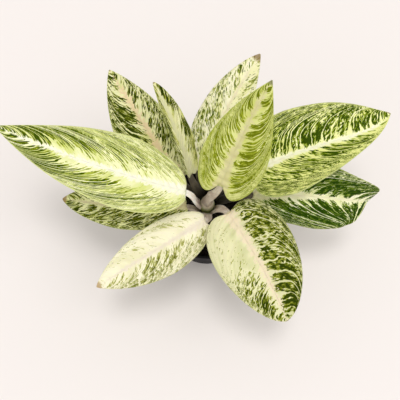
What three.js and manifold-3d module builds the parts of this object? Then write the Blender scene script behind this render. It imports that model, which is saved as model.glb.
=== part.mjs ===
// Potted aglaonema: ten variegated leaves on clasping stalks round a short stem, rooted in the
// soil of a plastic nursery pot. Millimetres, +Z up, origin at the middle of the pot's underside,
// -Y towards the front. Angles are in degrees.
import * as THREE from 'three';
import { mergeVertices } from 'three/addons/utils/BufferGeometryUtils.js';
import Module from 'manifold-3d';

const wasm = await Module();
wasm.setup();

// Pot: a thin tapered shell with a stepped rim band and a flat bottom with drainage holes.
const potHeight = 105;
const potRimRadius = 58.5;
const potBaseRadius = 44;
const potWall = 1.6;
const rimHeight = 12;
const rimStep = 2.4;
const potFloor = 2;
const drainRadius = 4;
const drainCircle = 26;
const drainCount = 6;
const potSides = 48;

// Soil and stem.
const seatGap = 0.3;
const soilTop = 94;
const soilMound = 4;
const soilSides = 30;
const stemRadius = 7.5;
const stemFoot = 52;
const stemTop = 130;
const stemRing = 0.7;
const ringSpacing = 9;
const stemSides = 14;

// Blades: thickness, the rib under the midrib, and the grid that each face is divided into.
const bladeThickness = 1;
const ribDepth = 1.8;
const ribShare = 0.12;
const jointHalfWidth = 3;
const tipHalfWidth = 0.5;
const bladeRows = 16;
const bladeColumns = [-1, -0.75, -0.45, -ribShare, 0, ribShare, 0.45, 0.75, 1];
const midribSteps = 48;

// Stalks: full width and depth at the clasping root, half way and at the blade.
const stalkWidths = [11, 9, 6];
const stalkDepths = [5, 5, 4.2];
const stalkSides = 10;
const stalkStations = 12;
const topmostSpread = 0.16;

// Each leaf: where its blade starts, the heading (0 is +X, 90 is +Y) and how far it swings, the
// rise and how far it arches over, the length, the half widths left and right of the midrib, the
// roll and twist about it, how far the halves fold up, and the outline's fullness at the base
// and tip with the share of the length that the basal lobes reach back. rightFull and rightTaper
// are the right half's own fullness; hook and turn bend the last stretch down and round. The
// stalk clasps the stem at rootAngle and rootHeight, and the topmost one stands on its end.
const leaves = [
  { name: 'long_left', base: [-23, -5, 188], heading: 175, swing: -21, rise: 30, arch: 36,
    length: 206, left: 36, right: 40, roll: 4, twist: 6, fold: 8,
    full: 0.57, taper: 1.05, lobe: 0.01, rootAngle: 190, rootHeight: 124 },
  { name: 'upper_left', base: [-32, 24, 145], heading: 128, swing: -6, rise: 30, arch: 22,
    length: 135, left: 35, right: 28, roll: 0, twist: 0, fold: 7,
    full: 0.53, taper: 0.91, lobe: 0.05, rootAngle: 149, rootHeight: 105 },
  { name: 'folded_back', base: [-18, 19, 172], heading: 112, swing: 8, rise: 48, arch: 18,
    length: 108, left: 15, right: 16, roll: 30, twist: -8, fold: 40,
    full: 0.57, taper: 0.7, lobe: 0.04, rootAngle: 131, rootHeight: 118 },
  { name: 'tall_back', base: [-10, 26, 160], heading: 62, swing: -10, rise: 44, arch: 15,
    length: 143, left: 27, right: 26, roll: -13, twist: 2, fold: 7,
    full: 0.6, taper: 0.86, lobe: 0.02, rootAngle: 88, rootHeight: 108 },
  { name: 'young_centre', base: [13, -3, 205], heading: 62, swing: -10, rise: 58, arch: 12,
    length: 135, left: 30, right: 35, roll: 6, twist: 6, fold: 15,
    full: 0.49, taper: 1, lobe: 0.12, rootAngle: 0, topmost: true },
  { name: 'upper_right', base: [53, 25, 168], heading: 20, swing: -12, rise: 20, arch: 28,
    length: 154, left: 47, right: 40, roll: -4, twist: 9, fold: 10, turn: 53,
    full: 0.29, taper: 0.62, rightFull: 0.4, rightTaper: 1.26, lobe: 0.08,
    rootAngle: 50, rootHeight: 121 },
  { name: 'lower_right', base: [50, 5, 138], heading: -2, swing: -10, rise: 12, arch: 17,
    length: 137, left: 45, right: 39, roll: 15, twist: 58, fold: 14, hook: 82, turn: 47,
    full: 0.52, taper: 0.62, rightTaper: 0.22, lobe: 0.05, rootAngle: 22, rootHeight: 105 },
  { name: 'front_right', base: [22, -20, 156], heading: -59, swing: -5, rise: 14, arch: 49,
    length: 132, left: 44, right: 42, roll: 9, twist: -8, fold: 11,
    full: 0.42, taper: 0.7, lobe: 0.04, rootAngle: -34, rootHeight: 112 },
  { name: 'front_left', base: [-3, -27, 150], heading: -146, swing: -4, rise: 12, arch: 29,
    length: 134, left: 30, right: 25, roll: -19, twist: 3, fold: 9,
    full: 0.6, taper: 0.86, lobe: 0.03, rootAngle: -95, rootHeight: 108 },
  { name: 'lower_left', base: [-23, -6, 132], heading: 187, swing: -18, rise: 14, arch: 20,
    length: 134, left: 27, right: 29, roll: 10, twist: -2, fold: 8,
    full: 0.62, taper: 0.81, lobe: 0.02, rootAngle: 211, rootHeight: 101 },
];

const colours = {
  pot: 0x17171a, soil: 0x1d1712, stem: 0x8fa05a, stalk: 0xcdbdb0, blade: 0xa9bf5f,
};

const radians = THREE.MathUtils.degToRad;

function material(colour, roughness) {
  return new THREE.MeshStandardMaterial({ color: colour, roughness, metalness: 0 });
}

function solidOf(geometry) {
  const bare = geometry.clone();
  bare.deleteAttribute('normal');
  bare.deleteAttribute('uv');
  const merged = mergeVertices(bare, 1e-4);
  return new wasm.Manifold(new wasm.Mesh({
    numProp: 3,
    vertProperties: new Float32Array(merged.attributes.position.array),
    triVerts: new Uint32Array(merged.index.array),
  }));
}

function geometryOf(solid) {
  const mesh = solid.getMesh();
  const geometry = new THREE.BufferGeometry();
  geometry.setAttribute('position', new THREE.BufferAttribute(mesh.vertProperties, 3));
  geometry.setIndex(new THREE.BufferAttribute(mesh.triVerts, 1));
  geometry.computeVertexNormals();
  return geometry;
}

function named(name, geometry, surface) {
  const mesh = new THREE.Mesh(geometry, surface);
  mesh.name = name;
  return mesh;
}

// A profile of [radius, height] pairs turned about the Z axis.
function turned(profile, sides) {
  const outline = profile.map(([radius, height]) => new THREE.Vector2(radius, height));
  return new THREE.LatheGeometry(outline, sides).rotateX(Math.PI / 2);
}

// The pot's outer radius at a height below its rim band.
function potRadiusAt(height) {
  return potBaseRadius + (potRimRadius - rimStep - potBaseRadius) * height / potHeight;
}

function potGeometry() {
  const bandFoot = potHeight - rimHeight;
  const profile = [
    [0, 0],
    [potBaseRadius - 1, 0],
    [potBaseRadius, 1],
    [potRadiusAt(bandFoot), bandFoot],
    [potRimRadius - 0.8, bandFoot + 0.8],
    [potRimRadius, potHeight - 1.5],
    [potRimRadius - 0.8, potHeight],
    [potRimRadius - rimStep, potHeight],
    [potRadiusAt(bandFoot) - potWall, bandFoot],
    [potBaseRadius - potWall, potFloor],
    [0, potFloor],
  ];
  let shell = solidOf(turned(profile, potSides));
  for (let i = 0; i < drainCount; i += 1) {
    const angle = 2 * Math.PI * (i + 0.5) / drainCount;
    const bore = new THREE.CylinderGeometry(drainRadius, drainRadius, 12, 12).rotateX(Math.PI / 2)
      .translate(drainCircle * Math.cos(angle), drainCircle * Math.sin(angle), 0);
    shell = shell.subtract(solidOf(bore));
  }
  return geometryOf(shell);
}

// The stem, with a low ring at each old leaf scar. Widened by clearance for the soil's hole.
function stemProfile(clearance) {
  const profile = [[0, stemFoot - clearance]];
  for (let height = stemFoot; height <= stemTop - 3; height += ringSpacing / 2) {
    const ring = (Math.round((height - stemFoot) * 2 / ringSpacing) % 2) * stemRing;
    profile.push([stemRadius + ring + clearance, height - (height === stemFoot ? clearance : 0)]);
  }
  profile.push([stemRadius - 1 + clearance, stemTop + clearance], [0, stemTop + clearance]);
  return profile;
}

// The stem with its clearance, to cut out of what meets it.
const widenedStem = solidOf(turned(stemProfile(seatGap), stemSides));

// Soil: fills the pot to its mounded, lumpy top, with a plain hole for the stem.
function soilGeometry() {
  const base = potFloor + seatGap;
  const wallGap = potWall + seatGap + 0.25;
  const profile = [[0, base], [potBaseRadius - wallGap, base]];
  profile.push([potRadiusAt(soilTop - 6) - wallGap, soilTop - 6]);
  const topRings = 6;
  for (let i = 0; i <= topRings; i += 1) {
    const radius = (potRadiusAt(soilTop - 2) - wallGap - 1) * (1 - i / topRings);
    profile.push([radius, soilTop + soilMound * (i / topRings) ** 1.5 - 2]);
  }
  const body = turned(profile, soilSides);
  const points = body.attributes.position;
  for (let i = 0; i < points.count; i += 1) {
    if (points.getZ(i) > soilTop - 3) {
      const lump = Math.sin(points.getX(i) * 0.31) * Math.cos(points.getY(i) * 0.27 + 1);
      points.setZ(i, points.getZ(i) + 1.2 * lump);
    }
  }
  return geometryOf(solidOf(body).subtract(widenedStem));
}

// The direction of the midrib at a share of the length, and the blade's side and face there.
function bladeFrame(leaf, share) {
  const at = THREE.MathUtils.clamp(share, 0, 1);
  const pitch = radians(leaf.rise - leaf.arch * at ** 1.3 - (leaf.hook ?? 0) * at ** 6);
  const heading = radians(leaf.heading + leaf.swing * at + (leaf.turn ?? 0) * at ** 6);
  const roll = radians(leaf.roll + leaf.twist * at);
  const along = new THREE.Vector3(
    Math.cos(pitch) * Math.cos(heading), Math.cos(pitch) * Math.sin(heading), Math.sin(pitch));
  const level = new THREE.Vector3(-Math.sin(heading), Math.cos(heading), 0);
  const side = level.applyAxisAngle(along, roll);
  const face = new THREE.Vector3().crossVectors(along, side);
  return { along, side, face };
}

// The midrib as points at equal steps: the directions added up from the base.
function midribPoints(leaf) {
  const points = [new THREE.Vector3(...leaf.base)];
  for (let i = 1; i <= midribSteps; i += 1) {
    const before = bladeFrame(leaf, (i - 1) / midribSteps).along;
    const after = bladeFrame(leaf, i / midribSteps).along;
    const step = before.add(after).multiplyScalar(leaf.length / midribSteps / 2);
    points.push(points[i - 1].clone().add(step));
  }
  return points;
}

function midribPoint(leaf, midrib, share) {
  const place = THREE.MathUtils.clamp(share, 0, 1) * midribSteps;
  const index = Math.min(Math.floor(place), midribSteps - 1);
  const point = midrib[index].clone().lerp(midrib[index + 1], place - index);
  if (share < 0) point.addScaledVector(bladeFrame(leaf, 0).along, share * leaf.length);
  return point;
}

// A point of the blade's middle surface. row runs 0 to 1 from the joint to the tip and column
// -1 to 1 from the right margin to the left one. The outline is c^full (1 - c)^taper, with c the
// cosine-eased row; the lobes pull the margin back, each half folds up and its edge curls down.
function bladePoint(leaf, midrib, row, column) {
  const c = (1 - Math.cos(Math.PI * row)) / 2;
  const full = column > 0 ? leaf.full : leaf.rightFull ?? leaf.full;
  const taper = column > 0 ? leaf.taper : leaf.rightTaper ?? leaf.taper;
  const peak = full / (full + taper);
  const outline = (c / peak) ** full * ((1 - c) / (1 - peak)) ** taper;
  const lobe = leaf.lobe * (row / 0.12) * Math.exp(1 - row / 0.12) * (1 - c);
  const out = Math.abs(column);
  const halfWidth = column > 0 ? leaf.left : leaf.right;
  const margin = jointHalfWidth * (1 - row) ** 2 + tipHalfWidth * row + halfWidth * outline;
  const share = c ** 1.2 + (c - lobe - c ** 1.2) * out ** 1.5;
  const across = out * margin;
  const { side, face } = bladeFrame(leaf, share);
  const fold = radians(leaf.fold);
  const lift = across * Math.sin(fold) - 0.11 * across * across / halfWidth;
  return midribPoint(leaf, midrib, share)
    .addScaledVector(side, Math.sign(column) * across * Math.cos(fold))
    .addScaledVector(face, lift);
}

// A closed sheet from two grids of points, split into triangles alike on both faces.
function sheetGeometry(upper, lower) {
  const rows = upper.length;
  const columns = upper[0].length;
  const points = [...upper.flat(), ...lower.flat()];
  const top = (i, j) => i * columns + j;
  const under = (i, j) => rows * columns + top(i, j);
  const index = [];
  for (let i = 0; i < rows - 1; i += 1) {
    for (let j = 0; j < columns - 1; j += 1) {
      index.push(top(i, j), top(i + 1, j), top(i + 1, j + 1));
      index.push(top(i, j), top(i + 1, j + 1), top(i, j + 1));
      index.push(under(i, j), under(i + 1, j + 1), under(i + 1, j));
      index.push(under(i, j), under(i, j + 1), under(i + 1, j + 1));
    }
  }
  const rim = [];
  for (let i = 0; i < rows - 1; i += 1) rim.push([i, 0]);
  for (let j = 0; j < columns - 1; j += 1) rim.push([rows - 1, j]);
  for (let i = rows - 1; i > 0; i -= 1) rim.push([i, columns - 1]);
  for (let j = columns - 1; j > 0; j -= 1) rim.push([0, j]);
  rim.forEach(([i, j], k) => {
    const [p, q] = rim[(k + 1) % rim.length];
    index.push(top(i, j), under(i, j), under(p, q));
    index.push(top(i, j), under(p, q), top(p, q));
  });
  const geometry = new THREE.BufferGeometry().setFromPoints(points);
  geometry.setIndex(index);
  geometry.computeVertexNormals();
  return geometry;
}

function bladeGeometry(leaf) {
  const midrib = midribPoints(leaf);
  const probe = 0.004;
  const upper = [];
  const lower = [];
  for (let i = 0; i < bladeRows; i += 1) {
    const row = i / (bladeRows - 1);
    const forward = row < 0.5 ? probe : -probe;
    const faces = bladeColumns.map((column) => {
      const middle = bladePoint(leaf, midrib, row, column);
      const { face } = bladeFrame(leaf, row);
      const inward = column > 0 ? -0.05 : 0.05;
      const ahead = bladePoint(leaf, midrib, row + forward, column).sub(middle);
      const beside = bladePoint(leaf, midrib, row, column + inward).sub(middle);
      const normal = ahead.cross(beside).normalize();
      if (normal.dot(face) < 0) normal.negate();
      if (Math.abs(column) < ribShare || row > 0.97 || row < 0.03) normal.copy(face);
      const rib = Math.abs(column) < ribShare ? ribDepth * (1 - 0.8 * row) : 0;
      return {
        above: middle.clone().addScaledVector(normal, bladeThickness / 2),
        below: middle.clone().addScaledVector(normal, -bladeThickness / 2 - rib),
      };
    });
    upper.push(faces.map((pair) => pair.above));
    lower.push(faces.map((pair) => pair.below));
  }
  return sheetGeometry(upper, lower);
}

// Value between three stations at 0, 0.5 and 1.
function between(three, t) {
  return t < 0.5
    ? THREE.MathUtils.lerp(three[0], three[1], t * 2)
    : THREE.MathUtils.lerp(three[1], three[2], t * 2 - 1);
}

// A closed tube through rings of points, each ring seen counter-clockwise from the tube's end.
function tubeGeometry(rings) {
  const sides = rings[0].length;
  const last = rings.length - 1;
  const index = [];
  for (let i = 0; i < last; i += 1) {
    for (let k = 0; k < sides; k += 1) {
      const here = i * sides + k;
      const next = i * sides + (k + 1) % sides;
      index.push(here, next, next + sides, here, next + sides, here + sides);
    }
  }
  for (let k = 1; k < sides - 1; k += 1) {
    index.push(0, k + 1, k);
    index.push(last * sides, last * sides + k, last * sides + k + 1);
  }
  const geometry = new THREE.BufferGeometry().setFromPoints(rings.flat());
  geometry.setIndex(index);
  geometry.computeVertexNormals();
  return geometry;
}

// A stalk clasps the stem's side, climbs and bends out to its blade. Its section is oval with a
// flattened, lightly channelled inner side, and its last section faces the blade's joint. The
// youngest one stands on the stem's end, and widens at its foot to cover it.
function stalkGeometry(leaf) {
  const base = new THREE.Vector3(...leaf.base);
  const { along, side, face } = bladeFrame(leaf, 0);
  const outward = new THREE.Vector3(
    Math.cos(radians(leaf.rootAngle)), Math.sin(radians(leaf.rootAngle)), 0);
  const up = new THREE.Vector3(0, 0, 1);
  const root = outward.clone().multiplyScalar(leaf.topmost ? 0 : stemRadius + stalkDepths[0] / 4)
    .addScaledVector(up, leaf.topmost ? stemTop + seatGap : leaf.rootHeight);
  const joint = base.clone().addScaledVector(along, -seatGap)
    .addScaledVector(face, -stalkDepths[2] / 2 + bladeThickness / 2);
  const reach = joint.distanceTo(root);
  const leave = up.clone().addScaledVector(outward, leaf.topmost ? 0 : 0.35).normalize();
  const arrive = along.clone().addScaledVector(up, 0.55).normalize();
  const path = new THREE.CubicBezierCurve3(root,
    root.clone().addScaledVector(leave, reach * 0.4),
    joint.clone().addScaledVector(arrive, -reach * 0.35), joint);
  const sections = [];
  for (let i = 0; i < stalkStations; i += 1) {
    const t = i / (stalkStations - 1);
    const centre = path.getPoint(t);
    const tangent = path.getTangent(t).lerp(along, t ** 6).normalize();
    const rootAcross = new THREE.Vector3().crossVectors(up, outward);
    if (rootAcross.dot(side) < 0) rootAcross.negate();
    const across = rootAcross.lerp(side, THREE.MathUtils.smoothstep(t, 0, 1));
    across.addScaledVector(tangent, -across.dot(tangent)).normalize();
    const above = new THREE.Vector3().crossVectors(tangent, across);
    const spread = leaf.topmost ? Math.exp(-((t / topmostSpread) ** 2)) : 0;
    const footRadius = stemRadius + seatGap;
    const halfWidth = THREE.MathUtils.lerp(between(stalkWidths, t) / 2, footRadius, spread);
    const halfDepth = THREE.MathUtils.lerp(between(stalkDepths, t) / 2, footRadius, spread);
    const ring = [];
    for (let k = 0; k < stalkSides; k += 1) {
      const turn = 2 * Math.PI * k / stalkSides;
      const height = Math.sin(turn) * (Math.sin(turn) > 0.9 ? 0.55 : 1);
      ring.push(centre.clone().addScaledVector(across, Math.cos(turn) * halfWidth)
        .addScaledVector(above, height * halfDepth));
    }
    sections.push(ring);
  }
  const stalk = solidOf(tubeGeometry(sections));
  return leaf.topmost ? geometryOf(stalk) : geometryOf(stalk.subtract(widenedStem));
}

const group = new THREE.Group();
group.add(named('pot', potGeometry(), material(colours.pot, 0.45)));
group.add(named('soil', soilGeometry(), material(colours.soil, 0.95)));
group.add(named('stem', turned(stemProfile(0), stemSides), material(colours.stem, 0.6)));
for (const leaf of leaves) {
  group.add(named(`blade_${leaf.name}`, bladeGeometry(leaf), material(colours.blade, 0.4)));
  group.add(named(`stalk_${leaf.name}`, stalkGeometry(leaf), material(colours.stalk, 0.5)));
}

export default group;
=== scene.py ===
"""Potted aglaonema: ten variegated leaves on clasping stalks, in a black nursery pot."""
import math

import bmesh
import bpy
import numpy as np
from mathutils import Matrix


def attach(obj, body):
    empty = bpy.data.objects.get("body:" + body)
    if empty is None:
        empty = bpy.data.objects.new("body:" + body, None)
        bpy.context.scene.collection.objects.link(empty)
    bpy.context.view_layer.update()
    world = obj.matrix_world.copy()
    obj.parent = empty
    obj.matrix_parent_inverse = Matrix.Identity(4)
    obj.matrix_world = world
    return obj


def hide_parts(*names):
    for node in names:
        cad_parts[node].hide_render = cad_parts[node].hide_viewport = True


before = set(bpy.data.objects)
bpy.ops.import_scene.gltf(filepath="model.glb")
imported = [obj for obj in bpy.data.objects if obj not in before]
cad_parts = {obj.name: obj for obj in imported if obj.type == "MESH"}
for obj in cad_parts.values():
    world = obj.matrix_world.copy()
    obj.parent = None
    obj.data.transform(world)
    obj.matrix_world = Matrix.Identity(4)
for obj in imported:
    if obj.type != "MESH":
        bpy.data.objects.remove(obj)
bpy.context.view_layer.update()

mm = 0.001

# ---- Pot -----------------------------------------------------------------------------------
# A 12 cm nursery pot, injection moulded in thin black polypropylene. A stepped band stiffens
# its rim, fine upright ribs run down the wall, and round drainage holes pierce the flat bottom.


def ring_faces(rows, columns, first=0):
    """Quads between neighbouring points of a grid whose last column meets its first."""
    i, j = np.meshgrid(np.arange(rows - 1), np.arange(columns), indexing="ij")
    here = i * columns + j
    beside = i * columns + (j + 1) % columns
    return np.stack([here, beside, beside + columns, here + columns], -1).reshape(-1, 4) + first


def mesh_of(name, points, faces):
    """A smooth mesh in metres from points in millimetres and lists of corners."""
    mesh = bpy.data.meshes.new(name)
    mesh.from_pydata((np.asarray(points) * mm).tolist(), [], [list(face) for face in faces])
    mesh.polygons.foreach_set("use_smooth", np.ones(len(mesh.polygons), bool))
    return mesh


def closed(mesh):
    """Merge coincident points, so that seams and poles close, and turn the faces outwards."""
    work = bmesh.new()
    work.from_mesh(mesh)
    bmesh.ops.remove_doubles(work, verts=work.verts, dist=1e-6)
    bmesh.ops.dissolve_degenerate(work, edges=work.edges, dist=1e-7)
    bmesh.ops.recalc_face_normals(work, faces=work.faces)
    work.to_mesh(mesh)
    work.free()
    return mesh


def piece(name, mesh, slot, *nodes):
    """An object for this mesh: it rides on the root and replaces CAD nodes; slot is not used."""
    thing = bpy.data.objects.new(name, mesh)
    bpy.context.scene.collection.objects.link(thing)
    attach(thing, "root")
    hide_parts(*nodes)
    return thing


def rounded(corners, radius, steps):
    """The polyline with each inner corner replaced by a parabola that starts radius before it."""
    corners = np.asarray(corners, float)
    path = [corners[:1]]
    t = np.linspace(0, 1, steps)[:, None]
    for before, corner, after in zip(corners, corners[1:], corners[2:]):
        into = before - corner
        out = after - corner
        into *= min(radius / np.linalg.norm(into), 0.5)
        out *= min(radius / np.linalg.norm(out), 0.5)
        path.append(corner + into * (1 - t) ** 2 + out * t ** 2)
    return np.concatenate([*path, corners[-1:]])


def turned(profile, sides, bulge=None):
    """Points at the profile's radii and heights, at angles 2 pi j / sides, moved out by bulge."""
    angle = 2 * np.pi * np.arange(sides) / sides
    radius = profile[:, :1] + (0 if bulge is None else bulge(profile[:, 1:], angle))
    radius = np.broadcast_to(radius, (len(profile), sides))
    height = np.broadcast_to(profile[:, 1:], radius.shape)
    return np.stack([radius * np.cos(angle), radius * np.sin(angle), height], -1).reshape(-1, 3)


pot_height, rim_radius, base_radius = 105, 58.5, 44
wall, rim_band, rim_step, pot_floor = 1.6, 12, 2.4, 2
rim_lean, edge_radius, edge_steps = 0.6, 1.1, 5
drain_radius, drain_circle, drain_count = 4, 26, 6
drill_length = 12
pot_sides, rib_count, rib_depth = 240, 60, 0.22


def wall_radius(height):
    """The outer wall widens in a straight line from the base to the underside of the rim."""
    return base_radius + (rim_radius - rim_step - base_radius) * height / pot_height


def pot_ribs(height, angle):
    """Rounded ribs that fade at the base and the band.

    They stand out by depth cos^2(n a / 2) f, where f is 8 s (1 - s) - 0.2, held between 0 and 1,
    at a share s of the way up to the band.
    """
    share = np.clip(height / (pot_height - rim_band), 0, 1)
    fade = np.clip(8 * share * (1 - share) - 0.2, 0, 1)
    return rib_depth * np.cos(rib_count * angle / 2) ** 2 * fade


band_foot = pot_height - rim_band
pot_profile = rounded([
    (0, 0), (base_radius, 0), (wall_radius(band_foot), band_foot),
    (rim_radius - rim_lean, band_foot), (rim_radius, pot_height),
    (rim_radius - rim_step, pot_height), (wall_radius(band_foot) - wall, band_foot),
    (base_radius - wall, pot_floor), (0, pot_floor),
], edge_radius, edge_steps)
# The wall between its two rounded ends gets rows of its own, so that the ribs can stand on it.
lift = np.linspace(0.06, 0.94, 24)[:, None]
foot_row, neck_row = edge_steps, edge_steps + 1
foot, neck = pot_profile[foot_row], pot_profile[neck_row]
pot_profile = np.concatenate([
    pot_profile[:neck_row], foot + (neck - foot) * lift, pot_profile[neck_row:]])


def outer_ribs(height, angle):
    """The ribs stand only on the outer wall's rows of the profile."""
    rows = np.arange(len(pot_profile))[:, None]
    return pot_ribs(height, angle) * ((rows >= foot_row) & (rows <= foot_row + len(lift)))


pot_mesh = closed(mesh_of("pot", turned(pot_profile, pot_sides, outer_ribs),
                          ring_faces(len(pot_profile), pot_sides)))
pot = piece("nursery_pot", pot_mesh, "pot_plastic", "pot")
drill = bmesh.new()
for hole in range(drain_count):
    turn = 2 * math.pi * (hole + 0.5) / drain_count
    made = bmesh.ops.create_cone(drill, cap_ends=True, segments=32, radius1=drain_radius * mm,
                                 radius2=drain_radius * mm, depth=drill_length * mm)
    bmesh.ops.translate(drill, verts=made["verts"], vec=(
        drain_circle * math.cos(turn) * mm, drain_circle * math.sin(turn) * mm, 0))
drill_mesh = bpy.data.meshes.new("drill")
drill.to_mesh(drill_mesh)
drill.free()
drill_bits = bpy.data.objects.new("drill", drill_mesh)
bpy.context.scene.collection.objects.link(drill_bits)
bore = pot.modifiers.new("drainage", "BOOLEAN")
bore.operation, bore.solver, bore.object = "DIFFERENCE", "EXACT", drill_bits
bored = bpy.data.meshes.new_from_object(pot.evaluated_get(bpy.context.evaluated_depsgraph_get()))
pot.modifiers.clear()
pot.data = bored
bpy.data.objects.remove(drill_bits)


class Wire:
    """A shader socket: arithmetic on it adds Math nodes, and node() adds any other node."""

    def __init__(self, tree, socket=None):
        self.tree, self.socket = tree, socket

    def node(self, kind, settings=None, values=None, output=0):
        """Add a node: its settings first, then a value or a link for each socket."""
        made = self.tree.nodes.new(kind)
        for key, setting in (settings or {}).items():
            setattr(made, key, setting)
        for key, value in (values or {}).items():
            if isinstance(value, Wire):
                self.tree.links.new(value.socket, made.inputs[key])
            else:
                made.inputs[key].default_value = value
        return Wire(self.tree, made.outputs[output])

    def maths(self, operation, *values):
        """A Math node on these values."""
        return self.node("ShaderNodeMath", {"operation": operation}, dict(enumerate(values)))

    def __add__(self, other):
        return self.maths("ADD", self, other)

    def __sub__(self, other):
        return self.maths("SUBTRACT", self, other)

    def __rsub__(self, other):
        return self.maths("SUBTRACT", other, self)

    def __mul__(self, other):
        return self.maths("MULTIPLY", self, other)

    def __truediv__(self, other):
        return self.maths("DIVIDE", self, other)

    __radd__, __rmul__ = __add__, __mul__

    def __abs__(self):
        return self.maths("ABSOLUTE", self)

    def most(self, other):
        """The larger of the two."""
        return self.maths("MAXIMUM", self, other)

    def rise(self, low, high):
        """0 below low and 1 above high, smooth between; the reverse if low is above high."""
        up = self.node("ShaderNodeMapRange", {"interpolation_type": "SMOOTHSTEP"},
                       {"Value": self, "From Min": min(low, high), "From Max": max(low, high)})
        return up if low < high else 1 - up

    def parts(self):
        """The X, Y and Z of a vector."""
        made = self.node("ShaderNodeSeparateXYZ", values={0: self}).socket.node
        return [Wire(self.tree, made.outputs[k]) for k in range(3)]

    def vector(self, x, y, z=0.0):
        """A vector from three values."""
        return self.node("ShaderNodeCombineXYZ", values={0: x, 1: y, 2: z})

    def noise(self, scale, detail=3.0, roughness=0.5):
        """Noise between 0 and 1 at this vector."""
        return self.node("ShaderNodeTexNoise", values={
            "Vector": self, "Scale": scale, "Detail": detail, "Roughness": roughness})

    def cells(self, scale, output="Color"):
        """Voronoi cells at this vector: a random value for each cell, or the distance."""
        made = self.node("ShaderNodeTexVoronoi", {"feature": "F1"},
                         {"Vector": self, "Scale": scale}, output)
        if output != "Color":
            return made
        return self.node("ShaderNodeSeparateColor", values={0: made})

    def blend(self, under, top, share):
        """One colour laid over another by a share; each is a wire or a screen colour's code."""
        under, top = (linear(end) if isinstance(end, str) else end for end in (under, top))
        return self.node("ShaderNodeMix", {"data_type": "RGBA"}, {0: share, 6: under, 7: top}, 2)

    def under(self, top, share):
        """This colour with another laid over it by a share from 0 to 1."""
        return self.blend(self, top, share)


def linear(code):
    """A hexadecimal screen colour as linear red, green and blue, with alpha 1."""
    parts = [int(code[k:k + 2], 16) / 255 for k in (0, 2, 4)]
    return (*[c / 12.92 if c < 0.04045 else ((c + 0.055) / 1.055) ** 2.4 for c in parts], 1.0)


def paint(name, constants=None):
    """A new material, its first wire, and its surface shader with these constants."""
    material = bpy.data.materials.new(name)
    material.use_nodes = True
    shader = material.node_tree.nodes["Principled BSDF"]
    for key, value in (constants or {}).items():
        shader.inputs[key].default_value = value
    return material, Wire(material.node_tree), shader


def feed(wires, shader):
    """Link each wire to the surface shader's socket of that name."""
    for key, wire in wires.items():
        wire.tree.links.new(wire.socket, shader.inputs[key])


def bump(height, distance, strength=1.0):
    """A surface normal from a height, in units of distance in metres."""
    return height.node("ShaderNodeBump", values={"Height": height, "Distance": distance,
                                                 "Strength": strength})


pot_paint, wire, shader = paint("black_polypropylene", {"Specular IOR Level": 0.04})
spot = wire.node("ShaderNodeTexCoord", output="Object")
grain = spot.noise(900, 3)
haze = spot.noise(38, 4, 0.6)
height = spot.parts()[2]
dust = haze.rise(0.5, 0.8) * height.rise(0.06, 0.105) * 0.5 + haze.rise(0.62, 0.8) * 0.25
feed({"Base Color": wire.blend("1C1C1D", "4A443C", dust * 0.2),
      "Roughness": 0.45 + haze * 0.2 + dust * 0.3,
      "Normal": bump(grain + haze * 2, 0.00008)}, shader)
pot.data.materials.clear()
pot.data.materials.append(pot_paint)

# ---- Soil ----------------------------------------------------------------------------------
# Dark moist peat and bark, poured round the stem and settled into a low mound. It is one body,
# with a plain hole for the stem, and loose crumbs lie in its top.


def lumps(x, y, size, seed):
    """Smooth value noise from -1 to 1: a seeded random lattice of this spacing, eased between."""
    lattice = np.random.default_rng(seed).uniform(-1, 1, (64, 64))
    u, v = (x + lattice_shift) / size, (y + lattice_shift) / size
    i, j = np.floor(u).astype(int), np.floor(v).astype(int)
    s, t = u - i, v - j
    s, t = s * s * (3 - 2 * s), t * t * (3 - 2 * t)
    corner = [[lattice[(i + a) % 64, (j + b) % 64] for b in (0, 1)] for a in (0, 1)]
    near = corner[0][0] * (1 - t) + corner[0][1] * t
    far = corner[1][0] * (1 - t) + corner[1][1] * t
    return near * (1 - s) + far * s


soil_top, soil_mound, seat_gap = 94, 4, 0.3
rim_sink, stem_radius, hole_gap, hole_neck = 2.4, 7.5, 1.2, 60
relief_depth, relief_fade, lattice_shift = 6, 3, 90
soil_sides, mound_rows = 260, 90
soil_edge = wall_radius(soil_top - 2) - wall - seat_gap
hole_radius = stem_radius + hole_gap


def mound_height(share):
    """The settled top falls from the hole to the wall: rim + mound (1 - s)^1.5 at a share s."""
    return soil_top - rim_sink + soil_mound * (1 - share) ** 1.5


def clods(x, y):
    """The coarse unevenness of the top: lumps 13 mm and 5 mm apart."""
    return 1.1 * lumps(x, y, 13, 1) + 0.8 * lumps(x, y, 5, 2)


outwards = np.linspace(1, 0, mound_rows)[:, None]
soil_profile = np.concatenate([
    [(hole_radius, pot_floor + seat_gap), (base_radius - wall - seat_gap, pot_floor + seat_gap)],
    np.concatenate([hole_radius + (soil_edge - hole_radius) * outwards,
                    mound_height(outwards)], 1),
    [(hole_radius, hole_neck)],
])
soil_points = turned(soil_profile, soil_sides)
x, y, z = soil_points.T
upper = np.clip((z - soil_top + relief_depth) / relief_fade, 0, 1)
rough_top = clods(x, y) + 0.6 * np.abs(lumps(x, y, 2.3, 3)) + 0.3 * lumps(x, y, 1.1, 4)
soil_points[:, 2] += upper * rough_top
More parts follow.
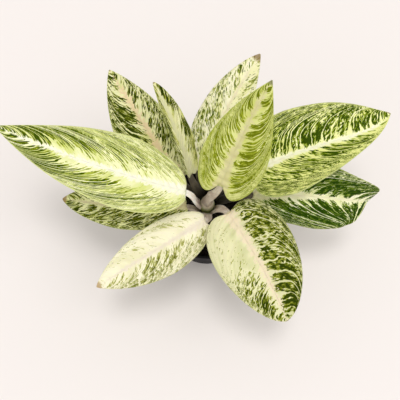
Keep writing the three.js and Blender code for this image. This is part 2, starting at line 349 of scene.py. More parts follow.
# The wall of the stem's hole joins the profile's last ring to its first.
last_ring = (len(soil_profile) - 1) * soil_sides
soil_faces = np.concatenate([
    ring_faces(len(soil_profile), soil_sides),
    ring_faces(2, soil_sides) % soil_sides + last_ring * np.array([1, 1, 0, 0])])
crumb = bmesh.new()
bmesh.ops.create_icosphere(crumb, subdivisions=1, radius=1)
crumb_mesh = bpy.data.meshes.new("crumb")
crumb.to_mesh(crumb_mesh)
crumb.free()
crumb_points = np.empty((len(crumb_mesh.vertices), 3), np.float32)
crumb_mesh.vertices.foreach_get("co", crumb_points.ravel())
crumb_faces = np.empty((len(crumb_mesh.polygons), 3), np.int32)
crumb_mesh.loops.foreach_get("vertex_index", crumb_faces.ravel())
bpy.data.meshes.remove(crumb_mesh)
crumb_count, crumb_margin, crumb_lift = 900, 2, 0.4
scatter = np.random.default_rng(7)
crumb_radius = (hole_radius + crumb_margin + (soil_edge - hole_radius - 2 * crumb_margin)
                * scatter.uniform(0, 1, crumb_count) ** 0.6)
crumb_angle = scatter.uniform(0, 2 * np.pi, crumb_count)
crumb_size = scatter.uniform(0.5, 1.5, (crumb_count, 1, 3))
crumb_size = crumb_size * scatter.uniform(0.5, 1.5, (crumb_count, 1, 1))
crumb_x, crumb_y = crumb_radius * np.cos(crumb_angle), crumb_radius * np.sin(crumb_angle)
crumb_share = (crumb_radius - hole_radius) / (soil_edge - hole_radius)
crumb_z = mound_height(crumb_share) + (clods(crumb_x, crumb_y) + crumb_lift)
jitter = 1 + scatter.uniform(-0.3, 0.3, (crumb_count, len(crumb_points), 1))
crumbs = (crumb_points * jitter * crumb_size
          + np.stack([crumb_x, crumb_y, crumb_z], -1)[:, None]).reshape(-1, 3)
starts = len(soil_points) + len(crumb_points) * np.arange(crumb_count)[:, None, None]
soil_mesh = mesh_of("soil", np.concatenate([soil_points, crumbs]),
                    [*soil_faces, *(crumb_faces + starts).reshape(-1, 3)])
work = bmesh.new()
work.from_mesh(soil_mesh)
bmesh.ops.recalc_face_normals(work, faces=work.faces)
work.to_mesh(soil_mesh)
work.free()
soil = piece("potting_soil", soil_mesh, "soil", "soil")
soil_paint, wire, shader = paint("moist_peat", {"Specular IOR Level": 0.2})
spot = wire.node("ShaderNodeTexCoord", output="Object")
bits = spot.cells(420)
damp = spot.noise(120, 5, 0.65)
feed({"Base Color": wire.blend("0B0806", "1C150F", damp.rise(0.35, 0.7))
      .under("46362A", bits.rise(0.93, 0.98) * 0.5),
      "Roughness": 0.85 + damp * 0.1,
      "Normal": bump(spot.noise(1400, 4, 0.7) + bits * 0.6, 0.0004)}, shader)
soil.data.materials.append(soil_paint)

# ---- Stem ----------------------------------------------------------------------------------
# A short green cane that the leaf stalks clasp. Old leaves have left raised, corky rings round
# it, and its foot stands in the hole in the soil.
stem_foot, stem_top, stem_ring, ring_spacing = 52, 130, 0.7, 9
stem_sides, stem_rows = 64, 150
narrowing, narrow_length = 0.28, 10
climb = np.linspace(0, 1, stem_rows)[:, None]
stem_height = stem_foot + (stem_top - stem_foot) * climb
ring_turn = 2 * np.pi * (stem_height - stem_foot) / ring_spacing
ringed = stem_ring * (0.5 - 0.5 * np.cos(ring_turn)) ** 3
near_top = np.clip((stem_height - stem_top + narrow_length) / narrow_length, 0, 1)
stem_girth = (stem_radius + ringed) * (1 - narrowing * near_top ** 2)
stem_profile = rounded(np.concatenate([
    [(0, stem_foot)], np.concatenate([stem_girth, stem_height], 1), [(0, stem_top)]]), 0.2, 2)
stem_mesh = closed(mesh_of("stem", turned(stem_profile, stem_sides),
                           ring_faces(len(stem_profile), stem_sides)))
stem = piece("cane", stem_mesh, "stem", "stem")
stem_paint, wire, shader = paint("green_cane")
spot = wire.node("ShaderNodeTexCoord", output="Object")
ring_wave = (spot.parts()[2] - stem_foot * mm) / (ring_spacing * mm)
scar = abs(ring_wave - ring_wave.maths("ROUND", ring_wave)).rise(0.36, 0.47)
mottle = spot.noise(260, 4, 0.6)
feed({"Base Color": wire.blend("6F7A3C", "8C9A52", mottle.rise(0.35, 0.65))
      .under("8A6A48", scar * (0.5 + mottle * 0.4))
      .under("D8CDB8", spot.parts()[2].rise(0.118, 0.127)),
      "Roughness": 0.5 + mottle * 0.2,
      "Normal": bump(mottle + scar, 0.0003)}, shader)
stem.data.materials.append(stem_paint)

# ---- Leaf stalks ---------------------------------------------------------------------------
# Each leaf's stalk clasps the stem with thin sheathing edges, climbs as a fleshy channel and
# bends out to its blade. It is ivory pink, paler on its ridges and browner and darker where it
# clasps, partly its own brown and partly painted shade. The stalks deep in the middle are
# painted dark all over, as painted shade.
# Angles are in degrees and lengths in mm; base is where a blade joins its stalk, left and right
# are the widths of its halves, and root is where the stalk leaves the stem.
leaves = [
    dict(name="long_left", base=(-23, -5, 188), heading=175, swing=-21, rise=30, arch=36,
         length=206, left=36, right=40, roll=4, twist=6, fold=8, full=0.57, taper=1.05,
         lobe=0.01, root_angle=190, root_height=124),
    dict(name="upper_left", base=(-32, 24, 145), heading=128, swing=-6, rise=30, arch=22,
         length=135, left=35, right=28, roll=0, twist=0, fold=7, full=0.53, taper=0.91,
         lobe=0.05, root_angle=149, root_height=105),
    dict(name="folded_back", base=(-18, 19, 172), heading=112, swing=8, rise=48, arch=18,
         length=108, left=15, right=16, roll=30, twist=-8, fold=40, full=0.57, taper=0.7,
         lobe=0.04, root_angle=131, root_height=118),
    dict(name="tall_back", base=(-10, 26, 160), heading=62, swing=-10, rise=44, arch=15,
         length=143, left=27, right=26, roll=-13, twist=2, fold=7, full=0.6, taper=0.86,
         lobe=0.02, root_angle=88, root_height=108),
    dict(name="young_centre", base=(13, -3, 205), heading=62, swing=-10, rise=58, arch=12,
         length=135, left=30, right=35, roll=6, twist=6, fold=15, full=0.49, taper=1, lobe=0.12,
         root_angle=0, topmost=True),
    dict(name="upper_right", base=(53, 25, 168), heading=20, swing=-12, rise=20, arch=28,
         length=154, left=47, right=40, roll=-4, twist=9, fold=10, turn=53, full=0.29,
         taper=0.62, right_full=0.4, right_taper=1.26, lobe=0.08, root_angle=50,
         root_height=121),
    dict(name="lower_right", base=(50, 5, 138), heading=-2, swing=-10, rise=12, arch=17,
         length=137, left=45, right=39, roll=15, twist=58, fold=14, hook=82, turn=47, full=0.52,
         taper=0.62, right_taper=0.22, lobe=0.05, root_angle=22, root_height=105),
    dict(name="front_right", base=(22, -20, 156), heading=-59, swing=-5, rise=14, arch=49,
         length=132, left=44, right=42, roll=9, twist=-8, fold=11, full=0.42, taper=0.7,
         lobe=0.04, root_angle=-34, root_height=112),
    dict(name="front_left", base=(-3, -27, 150), heading=-146, swing=-4, rise=12, arch=29,
         length=134, left=30, right=25, roll=-19, twist=3, fold=9, full=0.6, taper=0.86,
         lobe=0.03, root_angle=-95, root_height=108),
    dict(name="lower_left", base=(-23, -6, 132), heading=187, swing=-18, rise=14, arch=20,
         length=134, left=27, right=29, roll=10, twist=-2, fold=8, full=0.62, taper=0.81,
         lobe=0.02, root_angle=211, root_height=101),
]
blade_thickness = 0.8


def unit(vectors):
    """The vectors at length 1."""
    return vectors / np.linalg.norm(vectors, axis=-1, keepdims=True)


def blade_frame(leaf, share):
    """Directions along, across and out of the blade at a share of its midrib.

    The pitch is rise - arch s^1.3 - hook s^6, the heading turns by swing s + turn s^6, and the
    side direction is rolled about the midrib by roll + twist s.
    """
    at = np.clip(share, 0, 1)
    pitch = np.radians(leaf["rise"] - leaf["arch"] * at ** 1.3 - leaf.get("hook", 0) * at ** 6)
    heading = np.radians(leaf["heading"] + leaf["swing"] * at + leaf.get("turn", 0) * at ** 6)
    roll = np.radians(leaf["roll"] + leaf["twist"] * at)[..., None]
    along = np.stack([np.cos(pitch) * np.cos(heading), np.cos(pitch) * np.sin(heading),
                      np.sin(pitch)], -1)
    level = np.stack([-np.sin(heading), np.cos(heading), 0 * heading], -1)
    side = level * np.cos(roll) + np.cross(along, level) * np.sin(roll)
    return along, side, np.cross(along, side)


stalk_widths, stalk_depths = (11, 9, 6), (5, 5, 4.2)
stalk_rows, stalk_sides = 64, 36
root_pull, root_lean, blade_pull, blade_lean = 0.4, 0.35, 0.35, 0.55
joint_inset, stem_clearance = 1.5, 0.2
wing_share, wing_reach, wing_width = 0.16, 0.6, 0.06
hollow_foot, hollow_loss, hollow_width = 0.75, 0.35, 0.5
seat_radius, seat_reach, seat_round = 5.9, 0.09, 0.2


def stalk_points(leaf):
    """An oval section carried along a cubic curve from the stem to the blade.

    The section at an angle a is (w cos a, d sin a), and turns from the stem's direction to the
    blade's by 3 t^2 - 2 t^3. Its inner side is hollowed to a channel by exp(-(cos a / h)^2), and
    over the lower part its two edges are drawn out into thin wings by exp(-((|cos a| - 1) / e)^2).
    Points that would enter the stem are pushed out to its plain surface. The topmost stalk
    instead widens at its foot to a round seat on the stem's top.
    """
    along, side, face = (vector[0] for vector in blade_frame(leaf, np.zeros(1)))
    angle = math.radians(leaf["root_angle"])
    outward, up = np.array([math.cos(angle), math.sin(angle), 0]), np.array([0, 0, 1.0])
    topmost = leaf.get("topmost", False)
    root = (outward * (0 if topmost else stem_radius + stalk_depths[0] / 4)
            + up * (stem_top + seat_gap if topmost else leaf["root_height"]))
    joint = (np.array(leaf["base"]) + along * joint_inset
             + face * (blade_thickness - stalk_depths[2]) / 2)
    reach = np.linalg.norm(joint - root)
    leave = unit(up + outward * (0 if topmost else root_lean))
    arrive = unit(along + blade_lean * up)
    t = np.linspace(0, 1, stalk_rows)[:, None]
    near, far = root + leave * reach * root_pull, joint - arrive * reach * blade_pull
    centre = (root * (1 - t) ** 3 + 3 * near * t * (1 - t) ** 2 + 3 * far * t * t * (1 - t)
              + joint * t ** 3)
    tangent = unit(3 * (near - root) * (1 - t) ** 2 + 6 * (far - near) * t * (1 - t)
                   + 3 * (joint - far) * t * t)
    tangent = unit(tangent * (1 - t ** 6) + along * t ** 6)
    root_across = np.cross(up, outward)
    root_across = root_across if root_across @ side > 0 else -root_across
    ease = t * t * (3 - 2 * t)
    across = root_across * (1 - ease) + side * ease
    across = unit(across - tangent * (across * tangent).sum(-1, keepdims=True))
    above = np.cross(tangent, across)
    width = np.interp(t[:, 0], (0, 0.5, 1), stalk_widths)[:, None] / 2
    depth = np.interp(t[:, 0], (0, 0.5, 1), stalk_depths)[:, None] / 2
    if topmost:
        seat = np.exp(-(t / seat_reach) ** 2)
        width = width + (seat_radius - width) * seat
        depth = depth + (seat_radius - depth) * seat
    turn = 2 * np.pi * np.arange(stalk_sides)[None] / stalk_sides
    wing = (wing_share * np.clip(1 - t / wing_reach, 0, 1) ** 0.5
            * np.exp(-((np.abs(np.cos(turn)) - 1) / wing_width) ** 2))
    hollow = (hollow_foot - hollow_loss * t) * (1 - topmost * np.exp(-(t / seat_round) ** 2))
    channel = 1 - hollow * np.exp(-(np.cos(turn) / hollow_width) ** 2) * (np.sin(turn) > 0)
    out = (np.cos(turn) * width * (1 + wing))[..., None]
    rise = (np.sin(turn) * depth * channel)[..., None]
    points = centre[:, None] + across[:, None] * out + above[:, None] * rise
    if not topmost:
        flat = np.hypot(points[..., 0], points[..., 1])
        clear = np.where(points[..., 2] < stem_top, stem_radius + stem_clearance, 0)
        points[..., :2] *= (np.maximum(flat, clear) / flat)[..., None]
    return points


def end_caps(rows, columns):
    """Two faces that close the first and last rings of a tube."""
    first = list(range(columns))[::-1]
    return [first, [(rows - 1) * columns + k for k in range(columns)]]


def vertex_map(mesh, name, values):
    """A UV map that gives each corner its vertex's pair of values."""
    layer = mesh.uv_layers.new(name=name)
    corner = np.empty(len(mesh.loops), int)
    mesh.loops.foreach_get("vertex_index", corner)
    layer.uv.foreach_set("vector", np.asarray(values, np.float32)[corner].ravel())


def stalk_paint(name, pale, blush, fibre, foot, reach=0.2, depth=0.1):
    """Pale and blushed patches under lengthwise fibres, browner and darker over the reach of the
    foot: partly the sheath's own brown, partly painted shade where it clasps the stem.
    """
    material, wire, shader = paint(name, {"Subsurface Weight": 0.15, "Subsurface Scale": 1.0,
                                          "Subsurface Radius": (0.004, 0.003, 0.002),
                                          "Specular IOR Level": 0.3})
    t, turn, _ = wire.node("ShaderNodeUVMap", {"uv_map": "run"}).parts()
    fibres = wire.vector(t * 3, turn * 45).noise(1, 3, 0.65)
    patches = wire.node("ShaderNodeTexCoord", output="Object").noise(70, 3)
    # The foot colour is partly the sheath's own brown and partly painted shade at the clasp.
    feed({"Base Color": wire.blend(pale, blush, patches.rise(0.4, 0.65))
          .under(fibre, fibres.rise(0.5, 0.7) * 0.6)
          .under(foot, t.rise(reach, 0.0) * (depth + fibres * 0.7)),
          "Roughness": 0.45 + fibres * 0.15,
          "Normal": bump(fibres + patches, 0.00025)}, shader)
    return material


stalk_paints = {
    "ivory": stalk_paint("ivory_stalk", "FFFDF4", "FCF0E2", "F0E6D8", "A89284", 0.5, 0.4),
    "blush": stalk_paint("blush_stalk", "DCD0BE", "C2B09E", "8E7C6E", "76665A"),
    "grey": stalk_paint("grey_stalk", "C8BEAE", "AC9A8A", "6A5C50", "584A40"),
    # Stalks deep in the middle are painted dark grey-brown, near black at the stem: painted shade.
    "painted_shade": stalk_paint("painted_shade_stalk", "6A6250", "564E40", "342C24", "14110C", 1.0, 0.6),
}
# Stalks not listed here take the dark tone of painted shade.
stalk_tones = {"long_left": "ivory", "young_centre": "blush", "front_right": "blush",
               "folded_back": "painted_shade", "front_left": "grey", "lower_left": "grey"}
for leaf in leaves:
    name = f"stalk_{leaf['name']}"
    points = stalk_points(leaf)
    mesh = mesh_of(name, points.reshape(-1, 3),
                   [*ring_faces(stalk_rows, stalk_sides), *end_caps(stalk_rows, stalk_sides)])
    half_turn = np.abs(np.arange(stalk_sides) / stalk_sides - 0.5)
    share, round_it = np.meshgrid(np.linspace(0, 1, stalk_rows), half_turn, indexing="ij")
    vertex_map(mesh, "run", np.stack([share.ravel(), round_it.ravel()], -1))
    stalk = piece(f"leaf_{name}", mesh, "stalk", name)
    stalk.data.materials.append(stalk_paints[stalk_tones.get(leaf["name"], "painted_shade")])

# ---- Blades --------------------------------------------------------------------------------
# Leathery blades, quilted between side veins that curve from a broad pale midrib to the margin.
# Part of the tissue never forms chlorophyll, so cream and shades of green run along the veins.
midrib_steps, joint_half_width, tip_half_width = 48, 3, 0.5
blade_rows, blade_columns = 150, 61
midrib_depth, midrib_width, midrib_fade, keel = 1.8, 2.4, 0.85, 2.5
groove_depth, groove_width, groove_fade = 0.1, 2.0, 0.8
edge_share, margin_curl, column_crowding = 0.35, 0.11, 1.25
lobe_place, row_lag, row_bend = 0.12, 1.2, 1.5
wave_height, wave_count, length_phase, half_phase = 1.2, 3.2, 0.37, 2.1
vein_spacing, quilt_depth, quilt_start = 12, 0.45, 0.12


def midrib(leaf, share):
    """The point at a share of the midrib: the directions along it added up in equal steps."""
    at = np.linspace(0, 1, midrib_steps + 1)
    along = blade_frame(leaf, at)[0]
    steps = (along[1:] + along[:-1]) / 2 * leaf["length"] / midrib_steps
    points = np.concatenate([[leaf["base"]], leaf["base"] + np.cumsum(steps, 0)])
    inside = np.clip(share, 0, 1)
    place = np.stack([np.interp(inside, at, points[:, k]) for k in range(3)], -1)
    behind = (leaf["length"] * (share - inside) * (share < 0))[..., None]
    return place + along[0] * behind


def blade_surface(leaf, row, column):
    """Points of the middle surface, with the cosine-eased row and the distance from the midrib.

    The outline is c^full (1 - c)^taper, and lobes pull the margin back by a bump near the base.
    A row leaves the midrib at c^lag, behind its place on the margin. Each half folds up from a
    rounded keel, hypot(x, keel) - keel, and its edge curls down with the square of its distance
    x from the midrib, while a sine wave that grows with x^3 runs along the margin.
    """
    c = (1 - np.cos(np.pi * row)) / 2
    full, taper = (np.where(column > 0, leaf[key], leaf.get(f"right_{key}", leaf[key]))
                   for key in ("full", "taper"))
    peak = full / (full + taper)
    outline = (c / peak) ** full * ((1 - c) / (1 - peak)) ** taper
    lobe = leaf["lobe"] * (row / lobe_place) * np.exp(1 - row / lobe_place) * (1 - c)
    out = np.abs(column)
    half_width = np.where(column > 0, leaf["left"], leaf["right"])
    margin = joint_half_width * (1 - row) ** 2 + tip_half_width * row + half_width * outline
    share = c ** row_lag + (c - lobe - c ** row_lag) * out ** row_bend
    across = out * margin
    _, side, face = blade_frame(leaf, share)
    fold = math.radians(leaf["fold"])
    phase = (2 * np.pi * (share * wave_count + leaf["length"] * length_phase)
             + np.where(column > 0, half_phase, 0))
    wave = wave_height * out ** 3 * np.sin(phase) * np.clip(1 - c, 0, 1) * np.clip(c * 6, 0, 1)
    raised = ((np.hypot(across, keel) - keel) * math.sin(fold)
              - margin_curl * across ** 2 / half_width + wave)
    points = (midrib(leaf, share) + side * (np.sign(column) * across * math.cos(fold))[..., None]
              + face * raised[..., None])
    return points, c, np.sign(column) * across


def vein_place(leaf, c, column):
    """The share of the midrib where a point's side vein begins, and how tight the veins lie.

    A side vein that begins at q reaches row q + (1 - q) F(a) at a share a of the half width. It
    leans forward, more so towards the tip, and bends along the margin: F(a) is
    m tanh(((0.4 + 1.2 c) sweep a + curve a^late) / m), with m the most it can reach. Neighbours
    close up by 1 / (1 - F).
    """
    most = 0.8
    look = leaf["look"]
    out = np.abs(column)
    sweep = np.where(column > 0, *look["sweep"]) * (0.4 + 1.2 * c)
    bend = (sweep * out + look["curve"] * out ** look["late"]) / most
    forward = most * np.tanh(bend)
    return (c - forward) / (1 - forward), 1 / (1 - forward)


def blade_mesh(leaf):
    """A closed sheet: the middle surface moved out both ways by half the blade's thickness.

    At a share a of the half width the thickness is e + (1 - e) sqrt(1 - a^6) of the full one,
    with e its share at the margin. The quilt is a cosine of the side vein's place, so that each
    vein lies in a furrow. The midrib beneath and its groove above are exp(-(x / w)^2) at a
    distance x from the midrib, and shrink towards the tip.
    """
    row = np.linspace(0, 1, blade_rows)[:, None]
    even = np.linspace(-1, 1, blade_columns)[None]
    column = np.sign(even) * np.abs(even) ** column_crowding
    row, column = np.broadcast_arrays(row, column)
    points, c, across = blade_surface(leaf, row, column)
    ahead = np.gradient(points, axis=0)
    beside = np.gradient(points, axis=1)
    normal = np.cross(ahead, beside)
    face = blade_frame(leaf, c)[2]
    normal = unit(np.where(np.linalg.norm(normal, axis=-1, keepdims=True) > 1e-9, normal, face))
    out = np.abs(column)
    begin, tight = vein_place(leaf, c, column)
    begin = begin * leaf["length"]
    fade = np.clip(out / quilt_start, 0, 1) * np.clip((1 - c) * 5, 0, 1) / tight ** 2
    quilt = quilt_depth * np.cos(2 * np.pi * begin / vein_spacing) * -fade
    groove = -groove_depth * np.exp(-(across / groove_width) ** 2) * (1 - groove_fade * c)
    rib = midrib_depth * np.exp(-(across / midrib_width) ** 2) * (1 - midrib_fade * c)
    round_edge = np.sqrt(np.clip(1 - out ** 6, 0, 1))
    thin = blade_thickness / 2 * (edge_share + (1 - edge_share) * round_edge)
    top = points + normal * (thin + quilt + groove)[..., None]
    under = points - normal * (thin - quilt + rib)[..., None]
    loop = np.concatenate([top, under[:, ::-1]], 1)
    columns = loop.shape[1]
    faces = ring_faces(blade_rows, columns)[:, ::-1]
    half = np.arange(blade_columns - 1)
    cap = np.stack([half, half + 1, columns - 2 - half, columns - 1 - half], -1)
    faces = np.concatenate([faces, cap, (cap + (blade_rows - 1) * columns)[:, ::-1]])
    mesh = mesh_of(f"blade_{leaf['name']}", loop.reshape(-1, 3), faces)

    def both(values):
        """The values of the upper side, then the same from the other edge for the underside."""
        return np.concatenate([values, values[:, ::-1]], 1).ravel()

    beneath = np.concatenate([np.zeros_like(c), np.ones_like(c)], 1).ravel()
    vertex_map(mesh, "vein", np.stack([both(begin) / 10, both(across) / 10], -1))
    vertex_map(mesh, "place", np.stack([both(c), both(column)], -1))
    vertex_map(mesh, "turned", np.stack([beneath, both(1 / tight)], -1))
    return mesh


lime_step, green_step, deep_step = (0.17, 0.25), (0.44, 0.52), (0.68, 0.75)
underside = "BCC58C"


def blade_paint(leaf):
    """Cream ground under lime, green and deep green, which follow the side veins.

    A level rises from cream to deep green. It adds up the shade of the leaf's half, the luck of
    the panel between two veins, blotches, mottling, specks and fine threads along the veins. Side
    veins, in wedges that widen towards the midrib, three times as many minor veins, and a ragged
    band with a glow beside the midrib pull it back to cream. Deep green dots lie on top, and a
    tint moves each half of the ground from its own colour towards the wash.
    """
    look = leaf["look"]
    material, wire, shader = paint(f"blade_{leaf['name']}", {
        "Subsurface Weight": 0.1, "Subsurface Scale": 1.0,
        "Subsurface Radius": (0.0015, 0.002, 0.0006), "Specular IOR Level": 0.04})
    begin, across, _ = wire.node("ShaderNodeUVMap", {"uv_map": "vein"}).parts()
    c, v, _ = wire.node("ShaderNodeUVMap", {"uv_map": "place"}).parts()
    beneath, apart, _ = wire.node("ShaderNodeUVMap", {"uv_map": "turned"}).parts()
    out = abs(v)
    left = v.rise(-0.01, 0.01)
    seed = look["seed"] * 3.7
    sided = across + left * 30
    # A slow drift makes the veins waver.
    drift = wire.vector(begin * 0.6, sided * 0.45, seed).noise(1, 3)
    bent = begin + (drift - 0.5) * 1.4
    lean = (begin + c * (leaf["length"] / 10)) * 0.5 + (drift - 0.5) * 1.4

    # Patches and streaks follow the veins; mottling, specks and dots lie at a slope of their own.
    short = look["short"]
    patch = wire.vector(lean * 0.7, sided * 0.5, seed).noise(1, 2)
    streak = wire.vector(lean * 3.6, sided * 1.2, seed + 3).noise(1, 4, 0.65)
    slope = left * look["slope"][0] + (1 - left) * look["slope"][1]
    tilt = c * (leaf["length"] / 10) - abs(across) * slope + (drift - 0.5) * 1.2
    mottle = wire.vector(tilt * 5.6, sided * 3.3 * short, seed + 6).noise(1, 3, 0.7)
    grit = look["grit"]
    cells = wire.vector(tilt * (7.6 * grit), sided * (5.2 * short * grit), seed + 9).cells(1)
    dot_place = wire.vector(tilt * (6.0 * grit), sided * (4.4 * grit), seed + 12)
    dot_size = (dot_place.cells(1) - 1 + look["dots"]).most(0) * 0.6
    dots = (dot_place.cells(1, output="Distance") - dot_size).rise(0.02, -0.12)
    lengthy = apart.rise(0.3, 0.75) * look["lengthy"]
    grain = mottle * (1 - lengthy) + streak * lengthy

    # Each side vein, minor vein and panel between two of them has its own luck.
    def chance(index, shift):
        """A random value from 0 to 1 for this whole number, other on each half."""
        return wire.node("ShaderNodeTexWhiteNoise", {"noise_dimensions": "1D"},
                         {"W": index + left * 31.7 + (seed + shift)})

    vein_count = bent * (10 / vein_spacing)
    nearest = vein_count.maths("ROUND", vein_count)
    luck = chance(nearest, 0)
    minor_count = vein_count * 3
    minor_nearest = minor_count.maths("ROUND", minor_count)
    minor_luck = chance(minor_nearest, 5)
    panel = (chance(vein_count.maths("FLOOR", vein_count), 9)
             + chance(minor_count.maths("FLOOR", minor_count), 13)) * 0.5

    # The ragged band by the midrib and the veins' own wedges, in mm.
    feather = (streak - 0.5) * 9 + (mottle - 0.5) * 9
    band_share = c.rise(1.02, 0.8) * 0.7 + 0.3 - c * 0.5 + c.rise(0.3, 0.05) * 0.5
    rib_gap = abs(across) * 10 - look["band"] * band_share - feather * look["feather"]
    rib_band = rib_gap.rise(1.0, -0.8)
    rib_glow = rib_gap.rise(look["glow"][0], 0) * look["glow"][1]
    vein_gap = abs(vein_count - nearest) * vein_spacing * apart
    vein_width = (0.4 + rib_gap.rise(12, 0) * look["wedge"]
                  + (mottle - 0.5) * 1.6 + (luck - 0.5) * 0.8)
    vein = (vein_gap - vein_width).rise(0.4, -0.4) * (0.25 + luck * 0.95)
    minor_gap = abs(minor_count - minor_nearest) * (vein_spacing / 3) * apart
    minor = ((minor_gap - 0.2 - streak * 0.5 - (mottle - 0.5) * 0.5).rise(0.3, -0.3)
             * (minor_luck * minor_luck * 1.4 + 0.2) * apart.rise(0.15, 0.4))

    # All of it adds up to one level, which is cream below 0.17 and deep green above 0.75.
    shade = left * look["shade"][0] + (1 - left) * look["shade"][1]
    shade = shade + c * look["shade"][2] + out * look["shade"][3] + (panel - 0.5) * look["panel"]
    for at_c, at_v, reach_c, reach_v, gain in look["blotches"]:
        off_c = (c - at_c + (patch - 0.5) * 0.2) / reach_c
        off_v = (v - at_v + (streak - 0.5) * 0.6) / reach_v
        shade = shade + (off_c * off_c + off_v * off_v).rise(1.4, 0.5) * gain
    thread = wire.vector(bent * 7, sided * 0.35, seed + 2).noise(1, 2, 0.6)
    level = (shade + (patch - 0.5) * look["patch"] + (grain - 0.5) * look["mottle"]
             + (thread - 0.5) * look["thread"] + (cells - 0.5) * look["speck"]
             - vein * look["veins"] - minor * look["minor"] - rib_glow)
    level = level * (1 - rib_band)

    # The level picks the colour; the midrib, the margin, the tip and the underside come last.
    cloud = wire.vector(begin * 0.5, sided * 0.4, seed + 4).noise(1, 3)
    tip = (c + (drift - 0.5) * 0.03).rise(1 - look["tip"] * 1.2, 1 - look["tip"] * 0.6)
    tint = left * look["tint"][0] + (1 - left) * look["tint"][1]
    body = wire.blend(look["ground"], look["wash"], cloud.rise(0.4, 0.65).most(tint))
    body = body.under(look["lime"], level.rise(*lime_step))
    body = body.under(look["green"], level.rise(*green_step))
    dotted = dots * (1 - rib_band) * 0.85
    body = body.under(look["deep"], level.rise(*deep_step).most(dotted))
    body = body.under(look["midrib"], rib_gap.rise(1.0, -2.0) * look["blush"])
    body = body.under(look["edge"], out.rise(0.95, 0.985) * look["rim"])
    body = body.under(look["tip_colour"], tip * 0.85)
    body = body.under(body.under(underside, 0.5), beneath)
    feed({"Base Color": body,
          "Roughness": 0.45 + drift * 0.16 + beneath * 0.2,
          "Normal": bump(thread + mottle - vein, 0.0005, 0.6)}, shader)
    return material


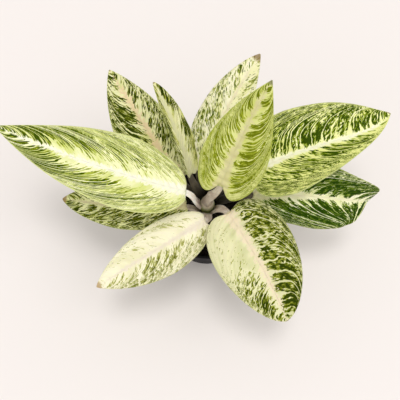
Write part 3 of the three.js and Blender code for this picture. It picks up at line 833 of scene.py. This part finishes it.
# How each blade differs from the plain one. Pairs are for its left and right half. shade is the
# level of the left half and of the right, and what tip and margin add. A blotch is its place
# along and across, its reach along and across, and what it adds. glow is a reach in mm and a
# strength, band is a width in mm, and tip is a share of the length. sweep, curve and late bend
# the veins, slope turns the mottling, and short and grit set how fine mottling and specks are.
plain_look = dict(
    shade=(0.5, 0.5, 0, 0), ground="EEECBE", wash="CDD090", tint=(0, 0), lime="A5AE40",
    green="6E7C0C", deep="3E5000", midrib="EAE8BE", blush=0.8, edge="CBD284", rim=0.4,
    tip_colour="8F8262", tip=0.008, band=3.5, feather=0.8, glow=(8, 0.15), veins=0.8, wedge=1.6,
    minor=0.4, patch=1.0, panel=0.4, mottle=2.4, lengthy=0.3, short=0.8, grit=1.0, speck=0.8,
    dots=0.0, thread=0.5, sweep=(0.04, 0.04), slope=(0.5, 0.5), curve=0.6, late=4, blotches=())
looks = {
    "long_left": dict(seed=1, shade=(0.26, 0.27, 0.46, 0.08), ground="F4F5C2", wash="D9DF8A",
                      lime="AAB444", green="788612", deep="3C5000", midrib="F8F6E6",
                      edge="E6ECA2", rim=0.8, band=4.5, feather=1.3, glow=(18, 0.46), veins=1.3,
                      minor=2.0, patch=1.3, mottle=1.5, lengthy=0.6, grit=0.8, speck=0.7,
                      thread=1.0, sweep=(0.14, 0.26), slope=(1.0, 1.0), curve=0.45, late=3,
                      blotches=((0.9, -0.5, 0.22, 0.7, 0.66), (0.87, 0.5, 0.22, 0.7, 0.66),
                                (0.5, 0.45, 0.2, 0.4, 0.2), (0.62, -0.6, 0.1, 0.35, 0.2))),
    "upper_left": dict(seed=2, shade=(0.65, 0.56, 0.05, 0), ground="FAF6D0", wash="D0D28A",
                       tint=(0.5, 0.5), lime="929838", green="5A660C", deep="323E00",
                       midrib="E6CCA4", band=4.2, feather=1.8, veins=0.9, minor=0.6, patch=1.3,
                       mottle=3.1, lengthy=0.15, speck=1.4, thread=0.8, sweep=(0.3, 0.25),
                       slope=(1.2, 1.0), curve=0.5,
                       blotches=((0.7, 0.5, 0.1, 0.4, 0.15), (0.5, 0.5, 0.08, 0.3, 0.2))),
    "folded_back": dict(seed=3, shade=(0.5, 0.14, 0.1, 0.05), ground="F0EEC0", wash="D8D884",
                        lime="A2A640", green="6C7614", deep="2A3800", midrib="D8D6B0", band=5.5,
                        patch=1.4, panel=0.2, mottle=2.2, speck=0.9, sweep=(0.4, 0.4),
                        slope=(2.0, 2.0), curve=0.4,
                        blotches=((0.85, -0.9, 0.16, 0.75, 1.0), (0.5, -0.95, 0.09, 0.5, 0.95),
                                  (0.75, 0.95, 0.35, 0.45, 0.4), (0.25, -0.6, 0.2, 0.5, 0.3))),
    "tall_back": dict(seed=4, shade=(0.07, -0.06, -0.05, 0.12), ground="FFFBDA", wash="F4F2BC",
                      lime="BCC070", green="8A943A", deep="46580A", midrib="F0E6C2", rim=0.2,
                      tip_colour="8A6F48", tip=0.05, band=3, veins=0.1, minor=0.1, patch=0.8,
                      panel=0.1, mottle=2.0, lengthy=0.1, short=1.3, grit=0.65, speck=1.4,
                      dots=0.8, sweep=(0.2, 0.2), slope=(0.9, 0.9)),
    "young_centre": dict(seed=5, shade=(0.5, 0.45, 0.2, -0.05), ground="E2E598", wash="CCD26E",
                         lime="A2AC32", green="84901C", deep="6A760C", midrib="DACFA6",
                         blush=0.65, edge="BAC650", rim=0.5, tip_colour="8C8C66", tip=0.03,
                         band=5.6, feather=1.4, wedge=2.4, minor=1.0, patch=0.8, panel=0.5,
                         mottle=1.4, speck=0.6, thread=1.2, sweep=(0.14, 0.12), slope=(0.8, 0.7),
                         blotches=((0.9, 0.0, 0.13, 1.2, 0.35),)),
    "upper_right": dict(seed=6, shade=(0.69, 0.57, 0.05, 0), ground="FAFAC0", wash="E0E486",
                        tint=(0.2, 0.8), lime="98A832", green="5C7006", deep="344A00",
                        midrib="F6F4DE", edge="D8E094", rim=0.6, band=3.6, veins=1.3, wedge=1.8,
                        minor=0.75, patch=1.5, mottle=2.6, lengthy=0.1, grit=0.85, speck=1.1,
                        thread=1.2, sweep=(0.04, 0.4), slope=(0.5, 1.6), curve=0.8,
                        blotches=((0.5, 0.22, 0.05, 0.15, 0.4), (0.53, -0.5, 0.07, 0.3, 0.3))),
    "lower_right": dict(seed=7, shade=(0.74, 0.8, 0.05, 0), ground="FFFFD8", wash="DEE698",
                        lime="7C9230", green="446008", deep="264200", midrib="FAF5CE", band=4.6,
                        feather=1.1, veins=1.1, wedge=2.6, minor=0.2, mottle=2.0, thread=1.2,
                        sweep=(0.2, 0.35), slope=(1.0, 1.4), curve=1.0, late=3),
    "front_right": dict(seed=8, shade=(0.65, 0.03, 0.15, 0), ground="EAE6BC", wash="D2D2A0",
                        tint=(0.6, 0.3), lime="969C38", green="626C0C", deep="303E00",
                        midrib="ECDABE", blush=0.75, rim=0.15, band=5, feather=1.7, veins=0.9,
                        minor=0.6, mottle=2.8, lengthy=0.2, short=0.75, grit=0.85, speck=0.9,
                        thread=1.0, sweep=(0.0, 0.2), slope=(0.2, 0.5), late=5,
                        blotches=((0.28, -0.5, 0.32, 0.7, -0.3), (0.9, -0.4, 0.12, 0.5, 0.35),
                                  (0.72, -0.8, 0.32, 0.55, 0.24))),
    "front_left": dict(seed=9, shade=(0.24, -0.16, 0, 0.1), ground="F6F1D2", wash="E9E5BE",
                       lime="BABA70", green="84883A", deep="545A1C", midrib="EADFCC", rim=0.2,
                       tip_colour="B89A6C", tip=0.04, veins=0.4, patch=0.8, mottle=1.4,
                       short=0.6, grit=0.8, speck=0.7, dots=0.4, thread=1.8, sweep=(0.3, 0.15),
                       slope=(0.2, 0.5),
                       blotches=((0.62, 0.28, 0.05, 0.25, 0.16),)),
    "lower_left": dict(seed=10, shade=(0.56, 0.49, 0.0, 0), ground="F8F8C2", wash="D8DC8E",
                       lime="949C30", green="5E6808", deep="2E3C00", midrib="DED0AA",
                       tip_colour="9C7C50", tip=0.03, veins=0.5, mottle=2.8, lengthy=0.1,
                       grit=0.8, speck=1.2, thread=0.8, sweep=(0.15, 0.15), slope=(1.5, 0.9)),
}
for leaf in leaves:
    leaf["look"] = plain_look | looks[leaf["name"]]
    blade = piece(f"leaf_blade_{leaf['name']}", blade_mesh(leaf), "leaf", f"blade_{leaf['name']}")
    blade.data.materials.append(blade_paint(leaf))

# ---- Studio --------------------------------------------------------------------------------
# A plain pale floor under a bright sky, a soft lamp overhead and a weaker, wider one from the
# right, seen from nearly straight above the front of the plant.
floor_half = 30.0
lamp_tint, sky_tint, sky_strength = (1.0, 0.985, 0.97), (1.0, 0.985, 0.975, 1), 0.77
lamp_height = 2.0
floor_mesh = bpy.data.meshes.new("floor")
floor_mesh.from_pydata([
    (-floor_half, -floor_half, 0), (floor_half, -floor_half, 0),
    (floor_half, floor_half, 0), (-floor_half, floor_half, 0)], [], [(0, 1, 2, 3)])
floor = bpy.data.objects.new("floor", floor_mesh)
bpy.context.scene.collection.objects.link(floor)
floor_paint, wire, shader = paint("pale_floor", {"Base Color": linear("EAE4E1"),
                                                 "Roughness": 0.6})
floor.data.materials.append(floor_paint)

elevation, distance = math.radians(75), 1.0
aim = np.array([-8, 8, 105]) * mm
forward = np.array([0, math.cos(elevation), -math.sin(elevation)])


def placed(name, data, place, right, back):
    """An object at place, in metres, with its own X along right and its own Z along back."""
    thing = bpy.data.objects.new(name, data)
    bpy.context.scene.collection.objects.link(thing)
    pose = np.eye(4)
    pose[:3] = np.stack([right, np.cross(back, right), back, place], -1)
    thing.matrix_world = Matrix(pose.tolist())
    return thing


camera_data = bpy.data.cameras.new("camera")
camera_data.sensor_width, camera_data.lens, camera_data.clip_end = 36, 80.64, 20
camera = placed("camera", camera_data, aim - distance * forward, (1, 0, 0), -forward)
bpy.context.scene.camera = camera
for name, toward, strength, spread in (("skylight", (0.02, 0.02, 1.0), 0.85, 14),
                                       ("side_light", (0.45, -0.15, 1.0), 0.5, 30)):
    lamp = bpy.data.lights.new(name, "SUN")
    lamp.energy, lamp.angle, lamp.color = strength, math.radians(spread), lamp_tint
    toward = unit(np.array(toward))
    placed(name, lamp, lamp_height * toward, unit(np.cross([0, 1, 0], toward)), toward)
world = bpy.data.worlds.new("studio")
world.use_nodes = True
sky = world.node_tree.nodes["Background"]
sky.inputs["Color"].default_value = sky_tint
sky.inputs["Strength"].default_value = sky_strength
bpy.context.scene.world = world
bpy.context.scene.view_settings.view_transform = "Standard"
